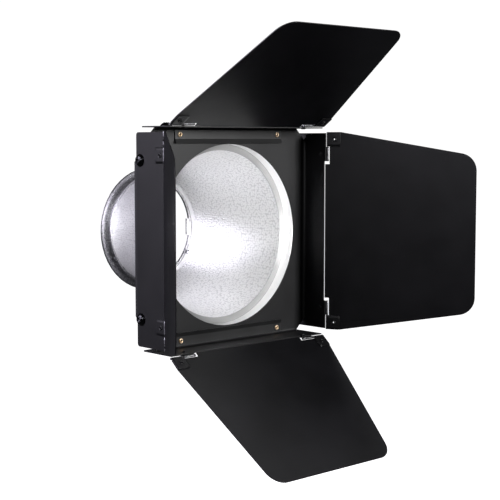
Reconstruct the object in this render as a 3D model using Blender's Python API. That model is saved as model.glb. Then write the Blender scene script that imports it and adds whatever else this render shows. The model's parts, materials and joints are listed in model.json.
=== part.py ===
"""Four-leaf barn doors on a round reflector with a square front collar.

The light axis is the Y axis and the front faces -Y. The origin is the centre of the bayonet
ring's rear face. Distances along the axis are counted backwards from the hinge plane, which
is the plane that holds all four hinge axes.
"""
import math

import bmesh
import bpy
from mathutils import Matrix, Vector

MM = 0.001

# Fits
FIT_GAP = 0.3 * MM
OVERCUT = 2.0 * MM
HINGE_CLEARANCE = 0.7 * MM
COLLAR_CLEARANCE = 0.5 * MM
SEGMENTS = 12
BOWL_SEGMENTS = 48
SMOOTH_ANGLE = math.radians(35.0)

# Door frame: a square sheet-metal frame with a round hole
HINGE_HALF = 110.0 * MM
HINGE_OUT = 1.6 * MM
FRAME_SHEET = 1.2 * MM
WALL_END_GAP = 5.8 * MM
WALL_SETBACK = 0.5 * MM
WALL_RECESS = 2.55 * MM
WALL_CORNER_RADIUS = 3.0 * MM
PLATE_SETBACK = 31.6 * MM
PLATE_CORNER_CUT = 13.0 * MM
PLATE_FILLET = 3.0 * MM
SKIRT_LENGTH = 11.2 * MM
HOLE_RADIUS = 91.2 * MM

# Leaves: four equal trapezoids
LEAF_SHEET = 1.0 * MM
LEAF_END_OVERHANG = 1.0 * MM
LEAF_TAPER = 24.2 * MM
LEAF_LENGTH = 155.4 * MM
LEAF_SQUARE_LENGTH = 14.0 * MM
LEAF_CORNER_RADIUS = 18.0 * MM
LEAF_BACK_EDGE = 2.7 * MM
LEAF_NOTCH_MARGIN = 3.0 * MM

# Hinges: two at each leaf, each with one knuckle on the leaf and one on the frame
KNUCKLE_RADIUS = 1.3 * MM
KNUCKLE_LENGTH = 15.0 * MM
KNUCKLE_OVERLAP = 0.05 * MM
PIN_RADIUS = 0.55 * MM
HINGE_SHEET = 0.6 * MM
HINGE_PLATE_LENGTH = 14.0 * MM
HINGE_PLATE_CORNER = 1.5 * MM
RIVET_SETBACK = 7.3 * MM
RIVET_RADIUS = 1.5 * MM
RIVET_BORE = 0.9 * MM
RIVET_HEAD_RADIUS = 2.4 * MM
RIVET_HEAD_HEIGHT = 0.7 * MM
RIVET_EDGE_SHARE = 0.4

# Filter rails above and below the hole
RAIL_SHEET = 0.8 * MM
RAIL_HALF_LENGTH = 71.5 * MM
RAIL_WALL_GAP = 2.3 * MM
RAIL_BASE_WIDTH = 8.5 * MM
RAIL_LIP_WIDTH = 4.3 * MM
RAIL_LIP_RISE = 1.9 * MM
RAIL_RIVET_INSET = 6.0 * MM
RAIL_RIVET_RADIUS = 1.6 * MM
RAIL_RIVET_BORE = 0.8 * MM
RAIL_RIVET_HEAD = 2.6 * MM

# Dome screws that clamp the frame's skirt to the reflector collar
SCREW_END_INSET = 26.6 * MM
SCREW_SETBACK = 6.0 * MM
SCREW_RADIUS = 2.5 * MM
SCREW_HEAD_RADIUS = 6.2 * MM
SCREW_HEAD_HEIGHT = 3.8 * MM
SCREW_LENGTH = 5.0 * MM

# Reflector
RIM_LENGTH = 12.4 * MM
RIM_FLANGE_WIDTH = 6.0 * MM
STEP_WIDTH = 6.6 * MM
BOWL_LENGTH = 105.0 * MM
NECK_RADIUS = 56.0 * MM
NECK_LENGTH = 6.0 * MM
BOWL_SHEET = 1.2 * MM
BOWL_STEPS = 6
BOWL_SKIN_SHIFT = 0.36 * MM
COLLAR_SHEET = 1.0 * MM
COLLAR_LIP_LENGTH = 13.4 * MM
COLLAR_LIP_SLANT = 13.0 * MM
COLLAR_CORNER_CUT = 19.0 * MM

# Bayonet ring behind the bowl
BAYONET_SLEEVE = 2.4 * MM
BAYONET_FLANGE_WIDTH = 6.1 * MM
BAYONET_FLANGE_SHEET = 3.0 * MM
BAYONET_THROAT_STEP = 2.0 * MM
BAYONET_LUG_SHEET = 2.0 * MM
BAYONET_LUG_REACH = 4.0 * MM
BAYONET_LUG_WIDTH = 18.0 * MM
BAYONET_LUG_COUNT = 3
BAYONET_RIVET_RADIUS = 1.5 * MM
BAYONET_RIVET_HEAD = 2.6 * MM

# Opening of each leaf, measured outwards from straight ahead, in degrees
SIDES = ("right", "top", "left", "bottom")
LEAF_ANGLE = {"right": 27.0, "top": 34.0, "left": 36.0, "bottom": 41.0}

# Places that follow from the sizes above, as distances behind the hinge plane
PLATE_BACK = PLATE_SETBACK + FRAME_SHEET
SKIRT_END = PLATE_BACK + SKIRT_LENGTH
RIM_FRONT = PLATE_BACK + FIT_GAP
RIM_STEP = RIM_FRONT + RIM_LENGTH
BOWL_END = RIM_STEP + BOWL_LENGTH
NECK_END = BOWL_END + NECK_LENGTH
BAYONET_REAR = NECK_END + FIT_GAP + BAYONET_FLANGE_SHEET
COLLAR_FRONT = RIM_FRONT + BOWL_SHEET + FIT_GAP
BAYONET_FRONT = BOWL_END + FIT_GAP
BAYONET_FLANGE_FRONT = NECK_END + FIT_GAP
BAYONET_RIVET_DEPTH = BOWL_END + NECK_LENGTH / 2.0
HINGE_PLANE_Y = -BAYONET_REAR

# Places measured outwards from the light axis
WALL_OUTER = HINGE_HALF - HINGE_OUT
WALL_INNER = WALL_OUTER - FRAME_SHEET
WALL_HALF_LENGTH = WALL_OUTER - WALL_END_GAP
COLLAR_OUTER = WALL_INNER - COLLAR_CLEARANCE
LEAF_HALF_ROOT = WALL_HALF_LENGTH + LEAF_END_OVERHANG
LEAF_HALF_TIP = LEAF_HALF_ROOT - LEAF_TAPER
RAIL_OUTER_EDGE = WALL_INNER - RAIL_WALL_GAP
RAIL_STEP_EDGE = RAIL_OUTER_EDGE - RAIL_BASE_WIDTH
RAIL_INNER_EDGE = RAIL_STEP_EDGE - RAIL_LIP_WIDTH
RAIL_RIVET_OUT = (RAIL_OUTER_EDGE + RAIL_STEP_EDGE) / 2.0
RAIL_RIVET_SPREAD = RAIL_HALF_LENGTH - RAIL_RIVET_INSET
SCREW_SPREAD = WALL_HALF_LENGTH - SCREW_END_INSET
RIM_RADIUS = HOLE_RADIUS + FIT_GAP
STEP_RADIUS = RIM_RADIUS - STEP_WIDTH
SLEEVE_INNER = NECK_RADIUS + BOWL_SHEET + FIT_GAP
SLEEVE_OUTER = SLEEVE_INNER + BAYONET_SLEEVE
BAYONET_FLANGE_RADIUS = SLEEVE_OUTER + BAYONET_FLANGE_WIDTH
BAYONET_THROAT_RADIUS = NECK_RADIUS - BAYONET_THROAT_STEP

# Heights above the hinge axis, along the outward direction
PLATE_LOW = KNUCKLE_OVERLAP - KNUCKLE_RADIUS
PLATE_HIGH = PLATE_LOW + HINGE_SHEET
LEAF_LOW = PLATE_HIGH + FIT_GAP
LEAF_HIGH = LEAF_LOW + LEAF_SHEET

# Places along each hinge axis, measured from the middle of the leaf
LEAF_KNUCKLE = (LEAF_HALF_ROOT - KNUCKLE_LENGTH, LEAF_HALF_ROOT)
FRAME_KNUCKLE = (LEAF_KNUCKLE[0] - FIT_GAP - KNUCKLE_LENGTH, LEAF_KNUCKLE[0] - FIT_GAP)
NOTCH_START = FRAME_KNUCKLE[0] - LEAF_NOTCH_MARGIN
LEAF_NOTCH_EDGE = KNUCKLE_RADIUS + HINGE_CLEARANCE


def clear_scene():
    """Remove every object, so that the script can be run again."""
    for item in list(bpy.data.objects):
        bpy.data.objects.remove(item, do_unlink=True)


def make_material(name, colour, roughness, metallic):
    """Make a Principled material of one colour."""
    material = bpy.data.materials.new(name)
    material.use_nodes = True
    shader = material.node_tree.nodes["Principled BSDF"]
    shader.inputs["Base Color"].default_value = (*colour, 1.0)
    shader.inputs["Roughness"].default_value = roughness
    shader.inputs["Metallic"].default_value = metallic
    return material


def make_materials():
    """Make the finishes, by name."""
    return {
        "black_paint": make_material("black_paint", (0.028, 0.027, 0.033), 0.55, 0.0),
        "rail_paint": make_material("rail_paint", (0.045, 0.045, 0.048), 0.45, 0.0),
        "zinc": make_material("zinc", (0.62, 0.62, 0.64), 0.30, 1.0),
        "brass": make_material("brass", (0.80, 0.62, 0.42), 0.28, 1.0),
        "black_screw": make_material("black_screw", (0.012, 0.012, 0.014), 0.18, 0.4),
        "reflector": make_material("reflector", (0.86, 0.86, 0.88), 0.22, 1.0),
        "collar_paint": make_material("collar_paint", (0.02, 0.02, 0.023), 0.5, 0.0),
    }


def add_object(name, mesh_data, material, parent=None, matrix=None):
    """Link a mesh to the scene under its parent, with a place relative to that parent."""
    item = bpy.data.objects.new(name, mesh_data)
    bpy.context.scene.collection.objects.link(item)
    mesh_data.materials.clear()
    mesh_data.materials.append(material)
    if parent is not None:
        item.parent = parent
    if matrix is not None:
        item.matrix_local = matrix
    return item


def add_empty(name, parent=None, location=(0.0, 0.0, 0.0), rotation=(0.0, 0.0, 0.0)):
    """Link an empty that other pieces are placed from."""
    item = bpy.data.objects.new(name, None)
    bpy.context.scene.collection.objects.link(item)
    item.parent = parent
    item.location = location
    item.rotation_euler = rotation
    return item


def hide_helper(item):
    """Mark an object as a cutter or a guide."""
    item.hide_render = True
    item.display_type = "WIRE"
    return item


def mesh_from(bm, name, smooth_angle=None):
    """Turn a bmesh into mesh data, smooth where the angle between faces is small."""
    bmesh.ops.recalc_face_normals(bm, faces=bm.faces)
    data = bpy.data.meshes.new(name)
    bm.to_mesh(data)
    bm.free()
    if smooth_angle is not None:
        data.shade_smooth()
        data.set_sharp_from_angle(angle=smooth_angle)
    return data


def prism(name, outline, start, end, matrix=None):
    """Extrude a flat outline of (a, b) points from height start to height end.

    The outline lies in the local XY plane and the extrusion runs along local Z."""
    bm = bmesh.new()
    verts = [bm.verts.new((a, b, start)) for a, b in outline]
    face = bm.faces.new(verts)
    grown = bmesh.ops.extrude_face_region(bm, geom=[face])
    moved = [v for v in grown["geom"] if isinstance(v, bmesh.types.BMVert)]
    bmesh.ops.translate(bm, verts=moved, vec=(0.0, 0.0, end - start))
    if matrix is not None:
        bmesh.ops.transform(bm, matrix=matrix, verts=bm.verts)
    return mesh_from(bm, name)


def turned(name, profile, segments, closed=True, matrix=None):
    """Spin a profile of (radius, height) points about local Z.

    A closed profile makes a ring. An open one starts and ends on the axis."""
    bm = bmesh.new()
    verts = [bm.verts.new((radius, 0.0, height)) for radius, height in profile]
    edges = [bm.edges.new(pair) for pair in zip(verts, verts[1:])]
    if closed:
        edges.append(bm.edges.new((verts[-1], verts[0])))
    bmesh.ops.spin(bm, geom=verts + edges, cent=(0, 0, 0), axis=(0, 0, 1),
                   angle=math.tau, steps=segments, use_merge=True)
    bmesh.ops.remove_doubles(bm, verts=bm.verts, dist=0.000001)
    if matrix is not None:
        bmesh.ops.transform(bm, matrix=matrix, verts=bm.verts)
    return mesh_from(bm, name, SMOOTH_ANGLE)


def arc(centre, radius, start, end, steps):
    """Return points on an arc about a centre, with angles in degrees."""
    angles = [math.radians(start + (end - start) * k / steps) for k in range(steps + 1)]
    return [(centre[0] + radius * math.cos(a), centre[1] + radius * math.sin(a)) for a in angles]


def rounded(outline, radii, steps=6):
    """Round the corners of an outline. Each corner has its own radius, and 0 keeps it."""
    points = []
    for index, (corner, radius) in enumerate(zip(outline, radii)):
        here = Vector(corner)
        if radius <= 0.0:
            points.append(tuple(here))
            continue
        before = (Vector(outline[index - 1]) - here).normalized()
        after = (Vector(outline[(index + 1) % len(outline)]) - here).normalized()
        half = before.angle(after) / 2.0
        reach = radius / math.tan(half)
        centre = here + (before + after).normalized() * (radius / math.sin(half))
        first = here + before * reach - centre
        last = here + after * reach - centre
        sweep = first.angle_signed(last)
        for k in range(steps + 1):
            turn = Matrix.Rotation(-sweep * k / steps, 2)
            points.append(tuple(centre + turn @ first))
    return points


def cut_square(half, cut):
    """Return a square outline with its corners cut off at 45 degrees."""
    near = half - cut
    return [(half, -near), (half, near), (near, half), (-near, half),
            (-half, near), (-half, -near), (-near, -half), (near, -half)]


def change_shape(target, tool, operation):
    """Add an exact Boolean of one tool object to a target."""
    step = target.modifiers.new(tool.name, "BOOLEAN")
    step.operation = operation
    step.solver = "EXACT"
    step.object = tool


def join_meshes(name, pieces):
    """Join mesh data of separate closed bodies into one, as a group of cutters."""
    bm = bmesh.new()
    for data in pieces:
        bm.from_mesh(data)
        bpy.data.meshes.remove(data)
    return mesh_from(bm, name)


def along_axis(depth):
    """Return the Y coordinate of a distance behind the hinge plane."""
    return HINGE_PLANE_Y + depth


# Local Z runs along world +Y, local X stays X, and local Y becomes -Z.
FACING_BACK = Matrix.Rotation(-math.pi / 2, 4, "X")


def side_turn(side):
    """Return the turn about the light axis that carries the right side to another side."""
    return Matrix.Rotation(-math.pi / 2 * SIDES.index(side), 4, "Y")


def cylinder_along(name, radius, start, end, matrix=None, segments=SEGMENTS):
    """Make a solid cylinder along local Z between two heights."""
    return turned(name, [(0.0, start), (radius, start), (radius, end), (0.0, end)],
                  segments, closed=False, matrix=matrix)


def outward_at(spread, depth):
    """Return the place of an outward-pointing pin on the right side, at the light axis."""
    turn = Matrix.Rotation(math.pi / 2, 4, "Y")
    return Matrix.Translation((0.0, along_axis(depth), spread)) @ turn


# Door frame ---------------------------------------------------------------------------------

def wall_mesh():
    """Make the right wall: a flat strip whose front edge steps back between the hinges."""
    end = WALL_HALF_LENGTH
    near = FRAME_KNUCKLE[0]
    outline = [(-end, WALL_SETBACK), (-end, SKIRT_END), (end, SKIRT_END), (end, WALL_SETBACK),
               (near, WALL_SETBACK), (near, WALL_RECESS), (-near, WALL_RECESS),
               (-near, WALL_SETBACK)]
    radii = [0.0, WALL_CORNER_RADIUS, WALL_CORNER_RADIUS, 0.0, 0.0, 0.0, 0.0, 0.0]
    place = Matrix(((0.0, 0.0, 1.0, 0.0), (0.0, 1.0, 0.0, HINGE_PLANE_Y),
                    (1.0, 0.0, 0.0, 0.0), (0.0, 0.0, 0.0, 1.0)))
    return prism("wall", rounded(outline, radii), WALL_INNER, WALL_OUTER, place)


def fillet_mesh():
    """Make the soft inner bend between the plate and the right wall."""
    bury = FRAME_SHEET / 2.0
    inner = WALL_INNER - PLATE_FILLET
    front = PLATE_SETBACK - PLATE_FILLET
    outline = [(WALL_INNER + bury, front), *arc((inner, front), PLATE_FILLET, 0, 90, 6),
               (inner, PLATE_SETBACK + bury), (WALL_INNER + bury, PLATE_SETBACK + bury)]
    reach = WALL_INNER - PLATE_CORNER_CUT
    place = Matrix.Translation((0.0, HINGE_PLANE_Y, 0.0))
    return prism("fillet", outline, -reach, reach, place)


def frame_cutters():
    """Make every hole in the frame as one group of cutters, apart from the large one."""
    pieces = []
    wall_span = (WALL_INNER - OVERCUT, WALL_OUTER + OVERCUT)
    rivet_spread = sum(FRAME_KNUCKLE) / 2.0
    for side in SIDES:
        for sign in (-1, 1):
            screw = side_turn(side) @ outward_at(sign * SCREW_SPREAD, SKIRT_END - SCREW_SETBACK)
            rivet = side_turn(side) @ outward_at(sign * rivet_spread, RIVET_SETBACK)
            pieces.append(cylinder_along("hole", SCREW_RADIUS + FIT_GAP, *wall_span, screw))
            pieces.append(cylinder_along("hole", RIVET_RADIUS + FIT_GAP, *wall_span, rivet))
    for across in (-RAIL_RIVET_SPREAD, RAIL_RIVET_SPREAD):
        for up in (-RAIL_RIVET_OUT, RAIL_RIVET_OUT):
            place = Matrix.Translation((across, HINGE_PLANE_Y, up)) @ FACING_BACK
            pieces.append(cylinder_along("hole", RAIL_RIVET_RADIUS + FIT_GAP,
                                         PLATE_SETBACK - OVERCUT, PLATE_BACK + OVERCUT, place))
    return pieces


def make_door_frame(materials):
    """Make the frame: the plate, four walls and their bends, then its holes."""
    place = Matrix.Translation((0.0, HINGE_PLANE_Y, 0.0)) @ FACING_BACK
    half = WALL_INNER + FRAME_SHEET / 2.0
    plate = prism("door_frame", cut_square(half, PLATE_CORNER_CUT + FRAME_SHEET / 2.0),
                  PLATE_SETBACK, PLATE_BACK, place)
    frame = add_object("door_frame", plate, materials["black_paint"])
    for side in SIDES:
        for maker in (wall_mesh, fillet_mesh):
            data = maker()
            data.transform(side_turn(side))
            tool = add_object(f"{side}_{data.name}_solid", data, materials["black_paint"])
            change_shape(frame, hide_helper(tool), "UNION")
    hole_data = cylinder_along("frame_hole", HOLE_RADIUS, PLATE_SETBACK - OVERCUT,
                               PLATE_BACK + OVERCUT, place, BOWL_SEGMENTS)
    for name, data in (("frame_hole_cutter", hole_data),
                       ("frame_pin_cutter", join_meshes("frame_pins", frame_cutters()))):
        tool = add_object(name, data, materials["black_paint"])
        change_shape(frame, hide_helper(tool), "DIFFERENCE")


# Rails ----------------------------------------------------------------------------------------

def make_rails(materials):
    """Make the two filter rails: a flat strip on the plate with a flared inner lip."""
    base = FIT_GAP
    face = base + RAIL_SHEET
    outline = [(RAIL_OUTER_EDGE, base), (RAIL_OUTER_EDGE, face), (RAIL_STEP_EDGE, face),
               (RAIL_INNER_EDGE, face + RAIL_LIP_RISE), (RAIL_INNER_EDGE, base + RAIL_LIP_RISE),
               (RAIL_STEP_EDGE, base)]
    for name, up in (("top_rail", 1), ("bottom_rail", -1)):
        place = Matrix(((0.0, 0.0, 1.0, 0.0), (0.0, -1.0, 0.0, along_axis(PLATE_SETBACK)),
                        (up, 0.0, 0.0, 0.0), (0.0, 0.0, 0.0, 1.0)))
        data = prism(name, outline, -RAIL_HALF_LENGTH, RAIL_HALF_LENGTH, place)
        rail = add_object(name, data, materials["rail_paint"])
        holes = []
        for across in (-RAIL_RIVET_SPREAD, RAIL_RIVET_SPREAD):
            at = Matrix.Translation((across, along_axis(PLATE_SETBACK), up * RAIL_RIVET_OUT))
            holes.append(cylinder_along("hole", RAIL_RIVET_RADIUS + FIT_GAP,
                                        -face - OVERCUT, OVERCUT, at @ FACING_BACK))
        tool = add_object(f"{name}_cutter", join_meshes(f"{name}_holes", holes),
                          materials["rail_paint"])
        change_shape(rail, hide_helper(tool), "DIFFERENCE")


def tube_rivet(name, radius, bore, head, head_height, low, high):
    """Make a hollow rivet along local Z that clamps sheets between two heights.

    Its heads are coned and stand one fit gap away from the sheets."""
    under = low - FIT_GAP
    over = high + FIT_GAP
    return turned(name, [(bore, under - head_height), (head, under), (radius, under),
                         (radius, over), (head, over), (bore, over + head_height)], SEGMENTS)


def make_rail_rivets(materials):
    """Make the four hollow rivets that hold the rails on the plate."""
    for side, up in (("top", 1), ("bottom", -1)):
        for hand, across in (("left", -1), ("right", 1)):
            name = f"{side}_rail_rivet_{hand}"
            data = tube_rivet(name, RAIL_RIVET_RADIUS, RAIL_RIVET_BORE, RAIL_RIVET_HEAD,
                              RIVET_HEAD_HEIGHT, -FIT_GAP - RAIL_SHEET, FRAME_SHEET)
            place = Matrix.Translation((across * RAIL_RIVET_SPREAD, along_axis(PLATE_SETBACK),
                                        up * RAIL_RIVET_OUT)) @ FACING_BACK
            add_object(name, data, materials["brass"], matrix=place)


# Leaves and hinges -----------------------------------------------------------------------------

# In a leaf's own space, X is outwards, -Y is towards the leaf's tip and Z runs along the hinge.
PLAN = Matrix(((0.0, 0.0, 1.0, 0.0), (0.0, 1.0, 0.0, 0.0),
               (1.0, 0.0, 0.0, 0.0), (0.0, 0.0, 0.0, 1.0)))
OUTWARD = Matrix.Rotation(math.pi / 2, 4, "Y")


def leaf_mesh(name):
    """Make one leaf with its back edge notched for the hinges and its outer corners round."""
    slant = (LEAF_HALF_ROOT, -LEAF_SQUARE_LENGTH)
    half = [(NOTCH_START, LEAF_BACK_EDGE), (NOTCH_START, -LEAF_NOTCH_EDGE),
            (LEAF_HALF_ROOT, -LEAF_NOTCH_EDGE), slant, (LEAF_HALF_TIP, -LEAF_LENGTH)]
    outline = half + [(-along, forward) for along, forward in reversed(half)]
    radii = [0.0] * 4 + [LEAF_CORNER_RADIUS] * 2 + [0.0] * 4
    return prism(name, rounded(outline, radii, steps=10), LEAF_LOW, LEAF_HIGH, PLAN)


def knuckle_with_plate(name, span, plate_side, bore, pin_end=None):
    """Make a hinge half: a knuckle about the hinge axis and its flat plate.

    plate_side is -1 for a plate on the leaf and 1 for a plate on the frame. A bore of 0 makes
    a solid knuckle, and pin_end is where its pin stops beyond the outer end."""
    low, high = span
    if bore > 0.0:
        knuckle = turned(name, [(bore, low), (KNUCKLE_RADIUS, low),
                                (KNUCKLE_RADIUS, high), (bore, high)], SEGMENTS)
    else:
        knuckle = turned(name, [(0.0, low), (KNUCKLE_RADIUS, low), (KNUCKLE_RADIUS, high),
                                (PIN_RADIUS, high), (PIN_RADIUS, pin_end), (0.0, pin_end)],
                         SEGMENTS, closed=False)
    root = plate_side * KNUCKLE_OVERLAP
    tip = plate_side * HINGE_PLATE_LENGTH
    outline = [(low, root), (low, tip), (high, tip), (high, root)]
    radii = [0.0, HINGE_PLATE_CORNER, HINGE_PLATE_CORNER, 0.0]
    plate = prism(f"{name}_plate", rounded(outline, radii, steps=4), PLATE_LOW, PLATE_HIGH, PLAN)
    return knuckle, plate


def make_hinge_half(name, parent, materials, end_sign, span, plate_side, bore, pin_end=None):
    """Place one hinge half at one end of a leaf, with its rivet hole."""
    knuckle, plate = knuckle_with_plate(name, span, plate_side, bore, pin_end)
    middle = sum(span) / 2.0
    at = Matrix.Translation((0.0, plate_side * RIVET_SETBACK, middle)) @ OUTWARD
    hole = cylinder_along(f"{name}_hole", RIVET_RADIUS + FIT_GAP,
                          PLATE_LOW - OVERCUT, PLATE_HIGH + OVERCUT, at)
    tools = [(plate, "UNION"), (hole, "DIFFERENCE")]
    if bore > 0.0:
        clear = cylinder_along(f"{name}_bore", bore, span[0] - OVERCUT, span[1] + OVERCUT)
        tools.append((clear, "DIFFERENCE"))
    flip = Matrix.Diagonal((1.0, 1.0, end_sign, 1.0))
    for data in [knuckle, plate, hole] + [tool[0] for tool in tools[2:]]:
        data.transform(flip)
        if end_sign < 0:
            data.flip_normals()
    half = add_object(name, knuckle, materials["black_paint"], parent)
    for data, operation in tools:
        tool = add_object(f"{data.name}_tool", data, materials["black_paint"], parent)
        change_shape(half, hide_helper(tool), operation)


def make_rivet(name, parent, materials, along, forward, low, high):
    """Place one hollow rivet through a hinge plate and the sheet beside it."""
    data = tube_rivet(name, RIVET_RADIUS, RIVET_BORE, RIVET_HEAD_RADIUS, RIVET_HEAD_HEIGHT,
                      low, high)
    place = Matrix.Translation((0.0, forward, along)) @ OUTWARD
    add_object(name, data, materials["black_paint"], parent, place)


def make_leaf(side, materials):
    """Make one leaf with its two hinges, on a pivot that turns about the hinge axis."""
    number = SIDES.index(side)
    mount = add_empty(f"{side}_side", rotation=(0.0, -math.pi / 2 * number, 0.0))
    hinge = add_empty(f"{side}_hinge_axis", mount, (HINGE_HALF, HINGE_PLANE_Y, 0.0))
    pivot = add_empty(f"{side}_pivot", hinge,
                      rotation=(0.0, 0.0, math.radians(LEAF_ANGLE[side])))
    name = f"{side}_leaf"
    leaf = add_object(name, leaf_mesh(name), materials["black_paint"], pivot)
    leaf_rivet = sum(LEAF_KNUCKLE) / 2.0
    frame_rivet = sum(FRAME_KNUCKLE) / 2.0
    holes = []
    for end_sign in (1, -1):
        at = Matrix.Translation((0.0, -RIVET_SETBACK, end_sign * leaf_rivet)) @ OUTWARD
        holes.append(cylinder_along("hole", RIVET_RADIUS + FIT_GAP,
                                    LEAF_LOW - OVERCUT, LEAF_HIGH + OVERCUT, at))
    cutter = add_object(f"{name}_cutter", join_meshes(f"{name}_holes", holes),
                        materials["black_paint"], pivot)
    change_shape(leaf, hide_helper(cutter), "DIFFERENCE")
    for count, end_sign in enumerate((1, -1), start=1):
        stem = f"{side}_hinge_{count}"
        make_hinge_half(f"{stem}_leaf_half", pivot, materials, end_sign, LEAF_KNUCKLE, -1,
                        PIN_RADIUS + FIT_GAP)
        make_hinge_half(f"{stem}_frame_half", hinge, materials, end_sign, FRAME_KNUCKLE, 1,
                        0.0, LEAF_KNUCKLE[1])
        make_rivet(f"{stem}_leaf_rivet", pivot, materials, end_sign * leaf_rivet,
                   -RIVET_SETBACK, PLATE_LOW, LEAF_HIGH)
        make_rivet(f"{stem}_frame_rivet", hinge, materials, end_sign * frame_rivet,
                   RIVET_SETBACK, WALL_INNER - HINGE_HALF, PLATE_HIGH)


# Dome screws -----------------------------------------------------------------------------------

def dome_screw_mesh(name):
    """Turn a domed screw about local Z, whose head rests on height 0."""
    ball = (SCREW_HEAD_RADIUS ** 2 + SCREW_HEAD_HEIGHT ** 2) / (2 * SCREW_HEAD_HEIGHT)
    spread = math.degrees(math.asin(SCREW_HEAD_RADIUS / ball))
    dome = arc((0.0, SCREW_HEAD_HEIGHT - ball), ball, 90.0 - spread, 90.0, 3)
    dome[-1] = (0.0, SCREW_HEAD_HEIGHT)
    return turned(name, [(0.0, -SCREW_LENGTH), (SCREW_RADIUS, -SCREW_LENGTH),
                         (SCREW_RADIUS, 0.0), *dome], SEGMENTS, closed=False)


def make_screws(materials):
    """Make the two dome screws on each side of the skirt."""
    for side in SIDES:
        for count, sign in enumerate((1, -1), start=1):
            name = f"{side}_clamp_screw_{count}"
            place = side_turn(side) @ outward_at(sign * SCREW_SPREAD, SKIRT_END - SCREW_SETBACK)
            place = place @ Matrix.Translation((0.0, 0.0, WALL_OUTER + FIT_GAP))
            add_object(name, dome_screw_mesh(name), materials["black_screw"], matrix=place)


# Reflector --------------------------------------------------------------------------------------

def bowl_radius(depth):
    """Return the bowl's inner radius: a parabola from the step back to the neck."""
    share = (BOWL_END - depth) / BOWL_LENGTH
    return math.sqrt(NECK_RADIUS ** 2 + (STEP_RADIUS ** 2 - NECK_RADIUS ** 2) * share)


def make_bowl(materials):
    """Turn the reflector bowl: rim flange, straight rim, step, parabola and neck."""
    depths = [RIM_STEP + BOWL_LENGTH * k / BOWL_STEPS for k in range(BOWL_STEPS + 1)]
    inner = [(bowl_radius(depth), depth) for depth in depths]
    outer = [(radius + BOWL_SHEET, depth + BOWL_SKIN_SHIFT) for radius, depth in inner]
    outer[0] = (STEP_RADIUS + BOWL_SHEET, RIM_STEP + BOWL_SHEET)
    outer[-1] = (NECK_RADIUS + BOWL_SHEET, BOWL_END)
    flange = RIM_RADIUS + RIM_FLANGE_WIDTH
    rim_outer = RIM_RADIUS + BOWL_SHEET
    profile = [(flange, RIM_FRONT), (RIM_RADIUS, RIM_FRONT), (RIM_RADIUS, RIM_STEP), *inner,
               (NECK_RADIUS, NECK_END), (NECK_RADIUS + BOWL_SHEET, NECK_END),
               *reversed(outer), (rim_outer, RIM_STEP + BOWL_SHEET),
               (rim_outer, RIM_FRONT + BOWL_SHEET), (flange, RIM_FRONT + BOWL_SHEET)]
    place = Matrix.Translation((0.0, HINGE_PLANE_Y, 0.0)) @ FACING_BACK
    bowl = add_object("reflector_bowl", turned("reflector_bowl", profile, BOWL_SEGMENTS,
                                               matrix=place), materials["reflector"])
    tool = add_object("bowl_rivet_cutter",
                      join_meshes("bowl_rivet_holes", bayonet_rivet_holes(NECK_RADIUS)),
                      materials["reflector"])
    change_shape(bowl, hide_helper(tool), "DIFFERENCE")


def make_collar(materials):
    """Make the square collar: a plate around the rim and four lips with slanted ends."""
    place = Matrix.Translation((0.0, HINGE_PLANE_Y, 0.0)) @ FACING_BACK
    bury = COLLAR_SHEET / 2.0
    plate = prism("reflector_collar", cut_square(COLLAR_OUTER - bury, COLLAR_CORNER_CUT),
                  COLLAR_FRONT, COLLAR_FRONT + COLLAR_SHEET, place)
    collar = add_object("reflector_collar", plate, materials["collar_paint"])
    lip_end = COLLAR_FRONT + COLLAR_SHEET + COLLAR_LIP_LENGTH
    widest = COLLAR_OUTER - bury - COLLAR_CORNER_CUT
    narrow = widest - COLLAR_LIP_SLANT
    root = COLLAR_FRONT + bury
    shoulder = lip_end - COLLAR_LIP_SLANT
    outline = [(-widest, root), (-widest, shoulder), (-narrow, lip_end), (narrow, lip_end),
               (widest, shoulder), (widest, root)]
    stand = Matrix(((0.0, 0.0, 1.0, 0.0), (0.0, 1.0, 0.0, HINGE_PLANE_Y),
                    (1.0, 0.0, 0.0, 0.0), (0.0, 0.0, 0.0, 1.0)))
    holes = []
    for side in SIDES:
        data = prism(f"{side}_lip", outline, COLLAR_OUTER - COLLAR_SHEET, COLLAR_OUTER, stand)
        data.transform(side_turn(side))
        tool = add_object(f"{side}_lip_solid", data, materials["collar_paint"])
        change_shape(collar, hide_helper(tool), "UNION")
        for sign in (-1, 1):
            at = side_turn(side) @ outward_at(sign * SCREW_SPREAD, SKIRT_END - SCREW_SETBACK)
            holes.append(cylinder_along("hole", SCREW_RADIUS + FIT_GAP,
                                        COLLAR_OUTER - COLLAR_SHEET - OVERCUT,
                                        COLLAR_OUTER + OVERCUT, at))
    mouth = RIM_RADIUS + BOWL_SHEET + FIT_GAP
    mouth_data = cylinder_along("collar_mouth", mouth, COLLAR_FRONT - OVERCUT,
                                COLLAR_FRONT + COLLAR_SHEET + OVERCUT, place, BOWL_SEGMENTS)
    for name, data in (("collar_mouth_cutter", mouth_data),
                       ("collar_screw_cutter", join_meshes("collar_holes", holes))):
        tool = add_object(name, data, materials["collar_paint"])
        change_shape(collar, hide_helper(tool), "DIFFERENCE")


# Bayonet ring ------------------------------------------------------------------------------------

def bayonet_rivet_place(number):
    """Return the place of one radial rivet, pointing outwards from the light axis."""
    turn = Matrix.Rotation(math.tau * (number + 0.25) / BAYONET_LUG_COUNT, 4, "Y")
    return turn @ outward_at(0.0, BAYONET_RIVET_DEPTH)


def bayonet_rivet_holes(inner):
    """Make the radial holes for the bayonet rivets through neck and sleeve."""
    return [cylinder_along("hole", BAYONET_RIVET_RADIUS + FIT_GAP, inner - OVERCUT,
                           SLEEVE_OUTER + OVERCUT, bayonet_rivet_place(number))
            for number in range(BAYONET_LUG_COUNT)]


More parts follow.
